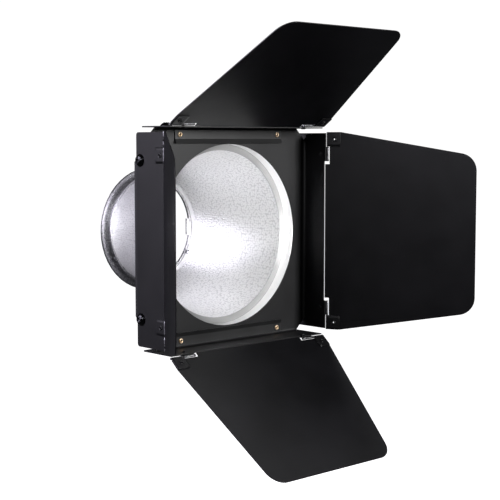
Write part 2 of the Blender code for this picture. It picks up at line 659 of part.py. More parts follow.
def make_bayonet(materials):
    """Make the bayonet ring with its inward lugs, and the rivets that hold it."""
    front = BAYONET_FLANGE_FRONT
    profile = [(SLEEVE_INNER, BAYONET_FRONT), (SLEEVE_OUTER, BAYONET_FRONT),
               (SLEEVE_OUTER, front), (BAYONET_FLANGE_RADIUS, front),
               (BAYONET_FLANGE_RADIUS, BAYONET_REAR), (BAYONET_THROAT_RADIUS, BAYONET_REAR),
               (BAYONET_THROAT_RADIUS, front), (SLEEVE_INNER, front)]
    place = Matrix.Translation((0.0, HINGE_PLANE_Y, 0.0)) @ FACING_BACK
    ring = add_object("bayonet_ring", turned("bayonet_ring", profile, BOWL_SEGMENTS,
                                             matrix=place), materials["zinc"])
    half = BAYONET_LUG_WIDTH / 2.0
    reach = BAYONET_THROAT_RADIUS - BAYONET_LUG_REACH
    root = SLEEVE_INNER
    lug_outline = [(reach, -half), (root, -half), (root, half), (reach, half)]
    middle = (BAYONET_FLANGE_FRONT + BAYONET_REAR) / 2.0
    for number in range(BAYONET_LUG_COUNT):
        data = prism(f"lug_{number}", lug_outline, middle - BAYONET_LUG_SHEET / 2.0,
                     middle + BAYONET_LUG_SHEET / 2.0, place)
        data.transform(Matrix.Rotation(math.tau * number / BAYONET_LUG_COUNT, 4, "Y"))
        tool = add_object(f"lug_{number}_solid", data, materials["zinc"])
        change_shape(ring, hide_helper(tool), "UNION")
    tool = add_object("bayonet_rivet_cutter",
                      join_meshes("bayonet_holes", bayonet_rivet_holes(NECK_RADIUS)),
                      materials["zinc"])
    change_shape(ring, hide_helper(tool), "DIFFERENCE")
    for number in range(BAYONET_LUG_COUNT):
        name = f"bayonet_rivet_{number + 1}"
        head = RIVET_HEAD_HEIGHT
        edge = head * RIVET_EDGE_SHARE
        low = NECK_RADIUS - FIT_GAP
        high = SLEEVE_OUTER + FIT_GAP
        data = turned(name, [(0.0, low - head), (BAYONET_RIVET_HEAD, low - edge),
                             (BAYONET_RIVET_HEAD, low), (BAYONET_RIVET_RADIUS, low),
                             (BAYONET_RIVET_RADIUS, high), (BAYONET_RIVET_HEAD, high),
                             (BAYONET_RIVET_HEAD, high + edge), (0.0, high + head)],
                      SEGMENTS, closed=False)
        add_object(name, data, materials["zinc"], matrix=bayonet_rivet_place(number))


def main():
    clear_scene()
    materials = make_materials()
    make_door_frame(materials)
    make_rails(materials)
    make_rail_rivets(materials)
    for side in SIDES:
        make_leaf(side, materials)
    make_screws(materials)
    make_bowl(materials)
    make_collar(materials)
    make_bayonet(materials)
    bpy.context.view_layer.update()


main()
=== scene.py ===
# %% [markdown]
# # Four-leaf barn doors on a round reflector
# Barn doors are hinged sheet-metal leaves in front of a studio light. They cut its beam to
# shape. These hang on a square frame, which is clamped on the square collar of a hammered
# silver reflector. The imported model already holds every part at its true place, so it is
# loaded first and everything else is made around it.

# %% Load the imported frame
import json
import math

import bmesh
import bpy
import numpy as np
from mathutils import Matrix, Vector


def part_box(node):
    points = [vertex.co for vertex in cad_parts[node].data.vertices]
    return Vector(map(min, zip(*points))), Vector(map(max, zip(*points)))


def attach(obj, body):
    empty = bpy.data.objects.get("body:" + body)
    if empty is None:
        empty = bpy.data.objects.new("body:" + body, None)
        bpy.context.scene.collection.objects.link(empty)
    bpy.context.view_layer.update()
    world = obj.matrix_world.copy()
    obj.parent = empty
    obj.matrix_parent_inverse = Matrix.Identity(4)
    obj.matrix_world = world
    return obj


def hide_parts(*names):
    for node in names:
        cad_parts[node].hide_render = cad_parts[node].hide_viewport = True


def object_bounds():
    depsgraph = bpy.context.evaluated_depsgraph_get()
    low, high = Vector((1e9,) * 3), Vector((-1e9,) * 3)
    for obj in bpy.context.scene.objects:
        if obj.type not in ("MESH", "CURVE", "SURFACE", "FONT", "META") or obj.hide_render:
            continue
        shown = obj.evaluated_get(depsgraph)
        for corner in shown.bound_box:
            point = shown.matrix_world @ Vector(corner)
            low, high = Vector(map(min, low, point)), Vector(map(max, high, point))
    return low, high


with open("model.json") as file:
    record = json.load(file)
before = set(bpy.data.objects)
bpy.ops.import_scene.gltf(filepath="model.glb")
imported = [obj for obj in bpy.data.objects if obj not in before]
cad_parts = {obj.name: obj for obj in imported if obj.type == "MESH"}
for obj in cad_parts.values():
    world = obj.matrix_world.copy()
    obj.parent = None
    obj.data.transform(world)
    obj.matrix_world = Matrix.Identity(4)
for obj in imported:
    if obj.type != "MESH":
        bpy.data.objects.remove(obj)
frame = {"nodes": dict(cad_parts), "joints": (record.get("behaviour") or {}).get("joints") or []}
cad_box = [list(corner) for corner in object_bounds()]
MM = 0.001

# %% [markdown]
# ## One side, worked out once
# The object has the same build on its four sides. Each side gets its own three directions:
# outwards from the light axis, back along it, and along the hinge. The hinge joints of the
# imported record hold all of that, so no place has to be typed in again. A shape is then drawn
# once in those three directions and set down four times.

# %% Directions of each side
SIDES = ("right", "top", "left", "bottom")
HINGES = {joint["child"].split("_")[0]: joint for joint in frame["joints"]}


def side_axes(side):
    """Return the hinge's point, and rows for outwards, back and along the hinge."""
    point = np.array(HINGES[side]["pos_m"])
    along = np.array(HINGES[side]["axis"], float)
    outward = np.array([point[0], 0.0, point[2]])
    outward /= np.linalg.norm(outward)
    return point, np.stack([outward, [0.0, 1.0, 0.0], along])


def set_down(points, axes):
    """Carry points (out, back, along) to the object's own space: origin + points x rows."""
    origin, rows = axes
    return origin + np.asarray(points) @ rows


def node_points(node):
    """Return a CAD node's vertices as one array."""
    data = frame["nodes"][node].data
    points = np.empty(len(data.vertices) * 3)
    data.vertices.foreach_get("co", points)
    return points.reshape(-1, 3)


def span_of(node, axes):
    """Return a node's lowest and highest (out, back, along) seen from a side."""
    origin, rows = axes
    local = (node_points(node) - origin) @ rows.T
    return local.min(axis=0), local.max(axis=0)


def leaf_axes(side):
    """Return axes that lean with the leaf: the sheet lies in its back-along plane.

    The lean is the direction in which the leaf's points spread furthest, seen along the
    hinge: the first singular vector of the centred (out, back) points."""
    origin, rows = side_axes(side)
    flat = ((node_points(f"{side}_leaf") - origin) @ rows.T)[:, :2]
    spread = np.linalg.svd(flat - flat.mean(axis=0), full_matrices=False)[2][0]
    towards_tip = spread if spread[1] < 0 else -spread
    lean = math.atan2(towards_tip[0], -towards_tip[1])
    turn = np.array([[math.cos(lean), math.sin(lean), 0.0],
                     [-math.sin(lean), math.cos(lean), 0.0], [0.0, 0.0, 1.0]])
    return origin, turn @ rows


AXES = {side: side_axes(side) for side in SIDES}
LEAN = {side: leaf_axes(side) for side in SIDES}
for side in SIDES:
    low, high = span_of(f"{side}_leaf", LEAN[side])
    print(side, "leaf", np.round((high - low) / MM, 1), "mm")

# %% [markdown]
# ## From an array of points to a mesh
# A surface is a grid of points, rows by columns. Each four neighbours make a face, and a grid
# may close on itself in either direction, as a tube or a ring does. Where a row shrinks to a
# point, its vertices are merged, and the normals are then turned outwards.

# %% Grid and turning helpers
MERGE_REACH = 0.002 * MM
WELD_REACH = 0.01 * MM
HARD_EDGE = 35.0


def grid_faces(rows, cols, close_rows=False, close_cols=False, first=0):
    """Return the quads of a grid of points, as rows of four indices."""
    index = first + np.arange(rows * cols).reshape(rows, cols)
    if close_rows:
        index = np.vstack([index, index[:1]])
    if close_cols:
        index = np.hstack([index, index[:, :1]])
    corners = (index[:-1, :-1], index[1:, :-1], index[1:, 1:], index[:-1, 1:])
    return np.stack(corners, axis=-1).reshape(-1, 4).tolist()


def make_piece(name, points, faces, material, body, smooth=40.0):
    """Make one piece from points and faces, with merged doubles and outward normals."""
    data = bpy.data.meshes.new(name)
    data.from_pydata(np.asarray(points).reshape(-1, 3).tolist(), [], faces)
    shell = bmesh.new()
    shell.from_mesh(data)
    bmesh.ops.remove_doubles(shell, verts=shell.verts, dist=MERGE_REACH)
    bmesh.ops.recalc_face_normals(shell, faces=shell.faces)
    shell.to_mesh(data)
    shell.free()
    data.shade_smooth()
    data.set_sharp_from_angle(angle=math.radians(smooth))
    data.materials.append(material)
    piece = bpy.data.objects.new(name, data)
    bpy.context.scene.collection.objects.link(piece)
    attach(piece, body)
    return piece


def soften(piece, width, weld=False):
    """Round every hard edge of a piece, as deburring and paint leave it.

    The CAD meshes have a vertex for each face corner, so those need a weld first."""
    if weld:
        merge = piece.modifiers.new("weld", "WELD")
        merge.merge_threshold = WELD_REACH
    edge = piece.modifiers.new("soft edge", "BEVEL")
    edge.width = width
    edge.segments = 2
    edge.limit_method = "ANGLE"
    edge.angle_limit = math.radians(HARD_EDGE)
    edge.harden_normals = True


def turned_points(profile, axes, count):
    """Turn (radius, height) points about the outward direction of the axes.

    Each point is height x outwards + radius x (cos a x back + sin a x along)."""
    profile = np.asarray(profile, float)
    angle = np.linspace(0.0, math.tau, count, endpoint=False)
    radius, height = profile[:, 0, None], profile[:, 1, None]
    local = np.stack([np.broadcast_to(height, (len(profile), count)),
                      radius * np.cos(angle), radius * np.sin(angle)], axis=-1)
    return set_down(local, axes)


def arc_points(centre, radii, start, end, count):
    """Return points on an ellipse arc: centre + radii x (cos a, sin a), in degrees."""
    angle = np.radians(np.linspace(start, end, count))
    return np.stack([centre[0] + radii[0] * np.cos(angle),
                     centre[1] + radii[1] * np.sin(angle)], axis=-1)


def moved(axes, out=0.0, back=0.0, along=0.0):
    """Return the axes with their origin moved in their own directions."""
    return axes[0] + np.array([out, back, along]) @ axes[1], axes[1]


print("grid of 3 x 4 points gives", len(grid_faces(3, 4)), "faces")

# %% [markdown]
# ## Finishes
# Every finish is a Principled shader fed by noise in the object's own space, so no picture is
# needed and the pattern keeps its true size in metres. A small helper links one noise to a
# colour band, another to the roughness, and a last one to a bump.

# %% Finish helper
NOISE_LOW, NOISE_HIGH = 0.3, 0.7
MIX_BELOW, MIX_ABOVE, MIX_RESULT = 6, 7, 2


class Finish:
    """A Principled material with short ways to add noise, bands, roughness and bump."""

    def __init__(self, name, roughness=0.5, metallic=0.0):
        """Start a material with this roughness and metalness."""
        self.material = bpy.data.materials.new(name)
        self.material.use_nodes = True
        self.tree = self.material.node_tree
        self.shader = self.tree.nodes["Principled BSDF"]
        self.shader.inputs["Roughness"].default_value = roughness
        self.shader.inputs["Metallic"].default_value = metallic
        self.place = self.tree.nodes.new("ShaderNodeTexCoord").outputs["Object"]
        self.bump = None

    def join(self, source, target):
        """Link an output to an input."""
        self.tree.links.new(source, target)

    def stretched(self, scale, turn=(0.0, 0.0, 0.0)):
        """Return the object coordinates scaled and turned, for grain with a direction."""
        mapping = self.tree.nodes.new("ShaderNodeMapping")
        mapping.inputs["Scale"].default_value = scale
        mapping.inputs["Rotation"].default_value = turn
        self.join(self.place, mapping.inputs["Vector"])
        return mapping.outputs["Vector"]

    def noise(self, scale, detail=3.0, place=None):
        """Return cloudy noise with about this many blotches to a metre."""
        node = self.tree.nodes.new("ShaderNodeTexNoise")
        node.inputs["Scale"].default_value = scale
        node.inputs["Detail"].default_value = detail
        self.join(place or self.place, node.inputs["Vector"])
        return node.outputs["Fac"]

    def dishes(self, scale, randomness, place):
        """Return the squared distance to the nearest cell centre, so each cell is a dish."""
        node = self.tree.nodes.new("ShaderNodeTexVoronoi")
        node.voronoi_dimensions = "2D"
        node.feature = "F1"
        node.inputs["Scale"].default_value = scale
        node.inputs["Randomness"].default_value = randomness
        self.join(place, node.inputs["Vector"])
        square = self.tree.nodes.new("ShaderNodeMath")
        square.operation = "POWER"
        square.inputs[1].default_value = 2.0
        self.join(node.outputs["Distance"], square.inputs[0])
        return square.outputs["Value"]

    def band(self, source, *stops):
        """Map a value to colours: each stop is a position and a colour or grey."""
        node = self.tree.nodes.new("ShaderNodeValToRGB")
        ramp = node.color_ramp
        while len(ramp.elements) < len(stops):
            ramp.elements.new(0.5)
        for element, (position, colour) in zip(ramp.elements, stops):
            element.position = position
            colour = colour if isinstance(colour, tuple) else (colour,) * 3
            element.color = (*colour, 1.0)
        self.join(source, node.inputs["Fac"])
        return node.outputs["Color"]

    def over(self, mask, below, above):
        """Lay one colour over another where the mask is white.

        The node has sockets of the same name for each data type, so its colour sockets are
        taken by number."""
        node = self.tree.nodes.new("ShaderNodeMix")
        node.data_type = "RGBA"
        self.join(mask, node.inputs["Factor"])
        for socket, value in ((node.inputs[MIX_BELOW], below),
                              (node.inputs[MIX_ABOVE], above)):
            if isinstance(value, tuple):
                socket.default_value = (*value, 1.0)
            else:
                self.join(value, socket)
        return node.outputs[MIX_RESULT]

    def spread(self, source, low, high):
        """Map the usual range of a noise to a range of numbers, for the roughness."""
        node = self.tree.nodes.new("ShaderNodeMapRange")
        node.inputs["From Min"].default_value = NOISE_LOW
        node.inputs["From Max"].default_value = NOISE_HIGH
        node.inputs["To Min"].default_value = low
        node.inputs["To Max"].default_value = high
        self.join(source, node.inputs["Value"])
        return node.outputs["Result"]

    def raise_by(self, height, distance, strength=1.0):
        """Add a bump of this depth in metres on top of those already there."""
        node = self.tree.nodes.new("ShaderNodeBump")
        node.inputs["Distance"].default_value = distance
        node.inputs["Strength"].default_value = strength
        self.join(height, node.inputs["Height"])
        if self.bump is not None:
            self.join(self.bump, node.inputs["Normal"])
        self.bump = node.outputs["Normal"]
        self.join(self.bump, self.shader.inputs["Normal"])

    def paint_with(self, colour, roughness=None):
        """Feed the shader's colour, and its roughness where one is given."""
        self.join(colour, self.shader.inputs["Base Color"])
        if roughness is not None:
            self.join(roughness, self.shader.inputs["Roughness"])


print("finish helper ready")

# %% [markdown]
# ## Black powder coat
# Leaves and frame are baked with a fine matte black powder. It is never quite even: it has a
# small orange peel, a faint violet cast, soft patches of more and less sheen, some lint and a
# few handling scratches. Noise at several sizes gives those, from 55 mm patches down to
# 0.7 mm grain.

# %% Make the powder coat
SHEEN_DRIFT = 0.025
WORN_GAIN, WORN_LIFT = 2.2, 0.006


def powder_coat(name, dark, light, roughness, gloss):
    """Make a matte black coat that drifts between two near-blacks."""
    coat = Finish(name)
    coat.shader.inputs["Specular IOR Level"].default_value = gloss
    patches = coat.band(coat.noise(18.0, 2.0), (0.35, dark), (0.68, light))
    grain = coat.noise(1500.0, 2.0)
    lint = coat.band(coat.noise(620.0, 1.0), (0.74, 0.0), (0.80, 0.55))
    scratch_place = coat.stretched((30.0, 900.0, 260.0), (0.5, 0.3, 0.9))
    scratches = coat.band(coat.noise(1.0, 1.0, scratch_place), (0.70, 0.0), (0.78, 0.35))
    worn = tuple(min(1.0, channel * WORN_GAIN + WORN_LIFT) for channel in light)
    colour = coat.over(lint, coat.over(scratches, patches, worn), worn)
    coat.paint_with(colour, coat.spread(coat.noise(45.0, 3.0), roughness - SHEEN_DRIFT,
                                        roughness + SHEEN_DRIFT))
    coat.raise_by(coat.noise(90.0, 1.0), 0.12 * MM, 0.35)
    coat.raise_by(grain, 0.03 * MM, 0.6)
    return coat.material


BLACK = powder_coat("leaf powder coat", (0.0028, 0.0027, 0.0034), (0.0052, 0.0050, 0.0063),
                    0.35, 0.30)
FRAME_BLACK = powder_coat("frame powder coat", (0.0030, 0.0029, 0.0035),
                          (0.0058, 0.0056, 0.0066), 0.42, 0.36)
RAIL_BLACK = powder_coat("rail satin paint", (0.010, 0.010, 0.0105), (0.016, 0.016, 0.0165),
                         0.34, 0.5)
HINGE_BLACK = powder_coat("hinge paint", (0.0028, 0.0027, 0.0033), (0.0054, 0.0052, 0.0062),
                          0.40, 0.36)
COLLAR_BLACK = powder_coat("collar paint", (0.006, 0.006, 0.007), (0.010, 0.010, 0.011),
                           0.48, 0.4)
print("black coats", len(bpy.data.materials))

# %% [markdown]
# ## Bright and dark metals
# The rail eyelets are pale brass, cloudy between a darker and a paler tone. The bayonet ring and
# the hinge pins are zinc plated, and the dome screws are polished black oxide. The hinges' curls
# get a grey steel in place of their black paint: painted sheen for the light along the round.

# %% Make the small metals


def plated_metal(name, dark, light, roughness, grain=2600.0):
    """Make a plated metal: cloudy in colour, and lightly drawn in one direction."""
    metal = Finish(name, roughness, 1.0)
    clouds = metal.band(metal.noise(420.0, 4.0), (0.32, dark), (0.66, light))
    drawn = metal.noise(1.0, 2.0, metal.stretched((grain, grain, grain * 0.08)))
    metal.paint_with(clouds, metal.spread(metal.noise(700.0, 2.0), roughness * 0.75,
                                          roughness * 1.3))
    metal.raise_by(drawn, 0.01 * MM, 0.5)
    return metal.material


BRIGHT_ZINC = plated_metal("zinc plate", (0.46, 0.46, 0.47), (0.66, 0.66, 0.68), 0.30)
BRASS = plated_metal("pale brass", (0.42, 0.27, 0.15), (0.86, 0.68, 0.48), 0.34)
BLACK_SCREW = plated_metal("black oxide", (0.016, 0.016, 0.018), (0.050, 0.050, 0.054), 0.13)
# Painted sheen: a grey steel for the black-painted curls, standing in for the light along their
# round.
CURL_PAINTED_SHEEN = plated_metal("worn knuckle", (0.10, 0.10, 0.105), (0.30, 0.30, 0.31), 0.38)
print("coats and metals", len(bpy.data.materials))

# %% [markdown]
# ## Hammered silver
# The bowl is anodised aluminium pressed with small dimples, so the light comes out soft and
# even. A real dimple every 2 mm would need a million faces, so a bump makes them. They lie in
# rows round the bowl, because the sheet is spun, so the pattern reads the bowl's own
# unwrapping: millimetres round it and millimetres along its axis. The rim and the step behind
# it are turned smooth. The step is painted a darker grey than the rim: painted shade for the
# dark room that it mirrors.

# %% Make the hammered silver, the rim and the step


def hammered_silver(name, dimple=2.3, depth=0.45):
    """Make bright metal with rows of dimples, each painted darker at its edge as painted shade.
    The sizes are in millimetres.
    """
    silver = Finish(name, 0.3, 0.75)
    unwrap = silver.tree.nodes.new("ShaderNodeUVMap")
    unwrap.uv_map = "unwrap"
    rows = silver.dishes(1.0 / dimple, 0.7, unwrap.outputs["UV"])
    fine = silver.noise(0.9, 2.0, unwrap.outputs["UV"])
    clouds = silver.band(silver.noise(25.0, 2.0), (0.3, (0.93, 0.93, 0.935)),
                         (0.7, (0.98, 0.98, 0.98)))
    # Painted shade: each dimple's colour darkens towards its edge, standing in for the shade of
    # its hollow.
    painted_dimple_shade = silver.band(rows, (0.10, 0.0), (0.42, 0.9))
    silver.paint_with(silver.over(painted_dimple_shade, clouds, (0.70, 0.70, 0.705)),
                      silver.spread(silver.noise(60.0, 2.0), 0.29, 0.36))
    silver.raise_by(rows, depth * MM, 1.0)
    silver.raise_by(fine, 0.05 * MM, 0.5)
    return silver.material


def spun_silver(name, dark, light):
    """Make plain spun silver between two greys, with faint rings from the lathe."""
    silver = Finish(name, 0.3, 0.5)
    clouds = silver.band(silver.noise(30.0, 2.0), (0.3, dark), (0.7, light))
    rings = silver.noise(1.0, 2.0, silver.stretched((14.0, 1400.0, 14.0)))
    silver.paint_with(clouds, silver.spread(rings, 0.32, 0.40))
    silver.raise_by(rings, 0.01 * MM, 0.4)
    return silver.material


HAMMERED = hammered_silver("hammered silver")
SPUN = spun_silver("spun silver", 0.95, 0.99)
# The step's darker grey is painted shade for the dark room that it mirrors.
STEP_PAINTED_SHADE = spun_silver("turned step", 0.42, 0.47)
print("finishes", len(bpy.data.materials))

# %% [markdown]
# ## Camera, light and floor
# The object is seen from its left front and a little above. A long lens from more than a
# metre keeps the leaves' edges nearly parallel. The room is a pale one: the background and the
# floor are white, and large soft lights stand to the left, above and in front. Black metal
# shows only what it mirrors, so the lights' places draw the object more than their strength.

# %% Place the camera
CAMERA_LENS, SENSOR_WIDTH = 89.78, 36.0
CAMERA_PLACE = (-0.8424, -1.0564, 0.0935)
CAMERA_YAW, CAMERA_PITCH = -43.17, 4.96
camera_data = bpy.data.cameras.new("camera")
camera_data.lens = CAMERA_LENS
camera_data.sensor_width = SENSOR_WIDTH
camera = bpy.data.objects.new("camera", camera_data)
bpy.context.scene.collection.objects.link(camera)
bpy.context.scene.camera = camera
camera.location = CAMERA_PLACE
camera.rotation_mode = "YXZ"
camera.rotation_euler = (math.radians(90.0 - CAMERA_PITCH), 0.0, math.radians(CAMERA_YAW))
print("lens", CAMERA_LENS, "mm")

# %% Make the pale room
WHITE_GLOW, ROOM_GLOW = 1.05, 0.05
bpy.context.scene.view_settings.view_transform = "Standard"
room = bpy.data.worlds.new("pale room")
bpy.context.scene.world = room
room.use_nodes = True
room_nodes = room.node_tree.nodes
room_links = room.node_tree.links
backdrop = room_nodes.new("ShaderNodeBackground")
backdrop.inputs["Color"].default_value = (1.0, 1.0, 1.0, 1.0)
backdrop.inputs["Strength"].default_value = WHITE_GLOW
dim = room_nodes["Background"]
dim.inputs["Color"].default_value = (0.93, 0.95, 1.0, 1.0)
dim.inputs["Strength"].default_value = ROOM_GLOW
seen = room_nodes.new("ShaderNodeLightPath")
choose = room_nodes.new("ShaderNodeMixShader")
room_links.new(seen.outputs["Is Camera Ray"], choose.inputs["Fac"])
room_links.new(dim.outputs["Background"], choose.inputs[1])
room_links.new(backdrop.outputs["Background"], choose.inputs[2])
room_links.new(choose.outputs["Shader"], room_nodes["World Output"].inputs["Surface"])
print("the camera sees white, and the metal mirrors a dim room")

# %% Stand the soft lights
LIGHT_AIM = Vector((0.0, -0.12, 0.0))


def soft_light(name, place, size, power, colour=(1.0, 1.0, 1.0)):
    """Stand a square soft light at a place and aim it at the object."""
    lamp = bpy.data.lights.new(name, "AREA")
    lamp.shape = "SQUARE"
    lamp.size = size
    lamp.energy = power
    lamp.color = colour
    item = bpy.data.objects.new(name, lamp)
    bpy.context.scene.collection.objects.link(item)
    item.location = place
    item.rotation_mode = "QUATERNION"
    item.rotation_quaternion = (LIGHT_AIM - Vector(place)).to_track_quat("-Z", "Y")
    return item


soft_light("left wall light", (-1.6, 0.45, 0.75), 1.5, 56.0, (0.89, 0.85, 1.0))
soft_light("right leaf light", (-1.58, -0.85, 0.60), 0.3, 7.0, (0.95, 0.94, 1.0))
soft_light("camera light", (-1.0, -1.6, 0.9), 0.8, 2.0)
soft_light("overhead light", (0.9, -0.4, 1.5), 1.2, 5.0)
front_light = soft_light("front light", (0.62, -1.78, 0.44), 0.55, 35.0)
bowl_light = soft_light("bowl light", (-1.05, -1.50, 0.08), 0.8, 54.0)
print("soft lights", len(bpy.data.lights))

# %% Lay the floor
FLOOR_DROP = 0.42
FLOOR_HALF = 30.0
floor_x, floor_y = np.meshgrid([-FLOOR_HALF, FLOOR_HALF], [-FLOOR_HALF, FLOOR_HALF])
floor_points = np.stack([floor_x, floor_y, np.full((2, 2), cad_box[0][2] - FLOOR_DROP)], -1)
floor_data = bpy.data.meshes.new("floor")
floor_data.from_pydata(floor_points.reshape(-1, 3).tolist(), [], [(0, 1, 3, 2)])
pale = Finish("pale floor", 0.9)
pale.paint_with(pale.band(pale.noise(3.0, 2.0), (0.3, 0.95), (0.7, 0.98)))
pale.shader.inputs["Emission Color"].default_value = (1.0, 1.0, 1.0, 1.0)
pale.shader.inputs["Emission Strength"].default_value = WHITE_GLOW
floor_data.materials.append(pale.material)
floor = bpy.data.objects.new("floor", floor_data)
bpy.context.scene.collection.objects.link(floor)
floor.visible_diffuse = False
floor.visible_glossy = False
print("floor", 2.0 * FLOOR_HALF, "m wide")

# %% [markdown]
# ## Leaves
# A leaf is one flat trapezoid of 1 mm sheet with round outer corners and two notches for the
# hinges. The CAD shape is right to the edge, so it stays. What it lacks is the soft edge that
# deburring and powder leave, and a bevel adds that. The CAD mesh is loose triangles, so a weld
# comes first.

# %% Coat the leaves and soften their edges
for side in SIDES:
    leaf = frame["nodes"][f"{side}_leaf"]
    leaf.data.materials.clear()
    leaf.data.materials.append(BLACK)
    soften(leaf, width=0.28 * MM, weld=True)
print("leaves coated")

# %% [markdown]
# ## Door frame
# The frame is folded from sheet: a plate with the round hole, four walls that run past it to
# the front and back, and a soft bend where they meet. The bend catches a line of light, so it
# is made as a real quarter round. The pieces are drawn as outlines pushed through the sheet's
# thickness, except the plate, which is a ring: its points run from the round hole to the
# square edge with cut corners.

# %% Outlines for sheet metal


def pushed(outline, start, end):
    """Push a flat outline through a thickness: points (a, b, start) and (a, b, end)."""
    outline = np.asarray(outline, float)
    count = len(outline)
    levels = [np.column_stack([outline, np.full(count, level)]) for level in (start, end)]
    faces = grid_faces(2, count, close_cols=True)
    caps = [list(range(count)), list(range(2 * count - 1, count - 1, -1))]
    return np.concatenate(levels), faces + caps


def rounded_corner(corner, before, after, radius, count=8):
    """Return the arc of this radius that replaces a square corner of an outline."""
    corner, before, after = (np.asarray(p, float) for p in (corner, before, after))
    one = (before - corner) / np.linalg.norm(before - corner)
    two = (after - corner) / np.linalg.norm(after - corner)
    centre = corner + (one + two) * radius
    angle = np.linspace(0.0, math.pi / 2.0, count)[:, None]
    return centre - radius * (np.cos(angle) * two + np.sin(angle) * one)


def gather(parts):
    """Join (points, faces) parts into one array of points and one list of faces."""
    points, faces = [], []
    for part_points, part_faces in parts:
        first = sum(len(p) for p in points)
        points.append(part_points.reshape(-1, 3))
        faces += [[first + i for i in face] for face in part_faces]
    return np.concatenate(points), faces


print("a pushed square has", len(pushed([(0, 0), (1, 0), (1, 1), (0, 1)], 0, 1)[1]), "faces")

# %% Measure the frame
right = AXES["right"]
frame_low, frame_high = span_of("door_frame", right)
SHEET = 1.2 * MM
HINGE_OUT = 110.0 * MM
CORNER_GAP = 5.8 * MM
WALL_HALF = frame_high[2] - CORNER_GAP
wall_out = frame_high[0]
wall_in = wall_out - SHEET
wall_front, wall_back = frame_low[1], frame_high[1]
PLATE_FRONT = 31.6 * MM
PLATE_CUT = 13.0 * MM
HOLE_RADIUS = 91.2 * MM
PLATE_POINTS = 192
BEND_RADIUS = 3.0 * MM
RECESS = 2.05 * MM
KNUCKLES_FROM = 73.3 * MM
print("walls", np.round([wall_in / MM, wall_out / MM, WALL_HALF / MM], 2))

# %% Draw the plate, a wall and a bend
TINY = 1e-9


def plate_ring():
    """Make the plate: rings of points at the hole and the cut square, front and back.

    At angle a the square's edge is the nearest of the lines |x| = h, |z| = h and
    |x| + |z| = 2h - cut, so its distance is the least of the three along that angle."""
    half = HINGE_OUT + wall_in + SHEET / 2.0
    corners = [math.atan2(half - PLATE_CUT, half), math.atan2(half, half - PLATE_CUT)]
    uniform = np.linspace(0.0, math.tau, PLATE_POINTS, endpoint=False)
    exact = np.concatenate([np.array(corners) + k * math.pi / 2 for k in range(4)])
    angle = np.unique(np.round(np.concatenate([uniform, exact % math.tau]), 9))
    across, up = np.cos(angle), np.sin(angle)
    reach = np.minimum.reduce([half / np.maximum(np.abs(across), TINY),
                               half / np.maximum(np.abs(up), TINY),
                               (2.0 * half - PLATE_CUT) / (np.abs(across) + np.abs(up))])
    hinge_y = right[0][1]
    rings = [(HOLE_RADIUS, PLATE_FRONT), (reach, PLATE_FRONT), (reach, PLATE_FRONT + SHEET),
             (HOLE_RADIUS, PLATE_FRONT + SHEET)]
    points = np.stack([np.stack([radius * across, np.full_like(across, hinge_y + depth),
                                 radius * up], axis=-1) for radius, depth in rings])
    return points, grid_faces(4, len(angle), close_rows=True, close_cols=True)


def wall_strip(side):
    """Make a wall: its side outline in (back, along), pushed through the sheet.

    Between the knuckles' outer ends the front edge stands back by the recess."""
    end, near = WALL_HALF, KNUCKLES_FROM
    back_corners = [rounded_corner((wall_back, -end), (wall_front, -end), (wall_back, end),
                                   BEND_RADIUS),
                    rounded_corner((wall_back, end), (wall_back, -end), (wall_front, end),
                                   BEND_RADIUS)]
    outline = np.concatenate([[(wall_front, -end)], *back_corners,
                              [(wall_front, end), (wall_front, near),
                               (wall_front + RECESS, near), (wall_front + RECESS, -near),
                               (wall_front, -near)]])
    points, faces = pushed(outline, wall_in, wall_out)
    return set_down(points[:, [2, 0, 1]], AXES[side]), faces


def bend(side):
    """Make the soft bend: a quarter round between plate and wall, pushed along the side."""
    bury = SHEET / 2.0
    inner = wall_in - BEND_RADIUS
    front = PLATE_FRONT - BEND_RADIUS
    curve = arc_points((inner, front), (BEND_RADIUS, BEND_RADIUS), 0.0, 90.0, 12)
    outline = np.concatenate([[(wall_in + bury, front)], curve,
                              [(inner, PLATE_FRONT + bury),
                               (wall_in + bury, PLATE_FRONT + bury)]])
    reach = HINGE_OUT + wall_in - PLATE_CUT
    points, faces = pushed(outline, -reach, reach)
    return set_down(points, AXES[side]), faces


print("plate outline of", len(plate_ring()[0][0]), "points")

# %% Make the door frame
frame_parts = [plate_ring()]
frame_parts += [wall_strip(side) for side in SIDES] + [bend(side) for side in SIDES]
pressing_points, pressing_faces = gather(frame_parts)
pressing = make_piece("door_frame_pressing", pressing_points, pressing_faces, FRAME_BLACK,
                      "frame", smooth=25.0)
soften(pressing, width=0.25 * MM)
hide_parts("door_frame")
print("door frame", len(pressing.data.vertices), "points")

# %% [markdown]
# ## Filter rails and collar
# The rails are Z-shaped strips that hold a filter against the plate. The collar is the
# reflector's square skirt. Their CAD shapes are right, so they get their paint and a soft
# edge, as the leaves did.

# %% Paint the rails and the collar
for node, paint in (("top_rail", RAIL_BLACK), ("bottom_rail", RAIL_BLACK),
                    ("reflector_collar", COLLAR_BLACK)):
    piece = frame["nodes"][node]
    piece.data.materials.clear()
    piece.data.materials.append(paint)
    soften(piece, width=0.2 * MM, weld=True)
print("rails and collar painted")

# %% [markdown]
# ## Hinges
# Each hinge half is a strip of thin sheet, curled round the pin at one end and flat at the
# other. The strip's middle surface is a line, first straight and then round the pin, carried
# along the hinge. Near the flat tip the strip gets shorter, which rounds its corners. Solidify
# then gives it the sheet's thickness. The curl gets a grey steel in place of its black paint,
# as painted sheen for the light along the round.

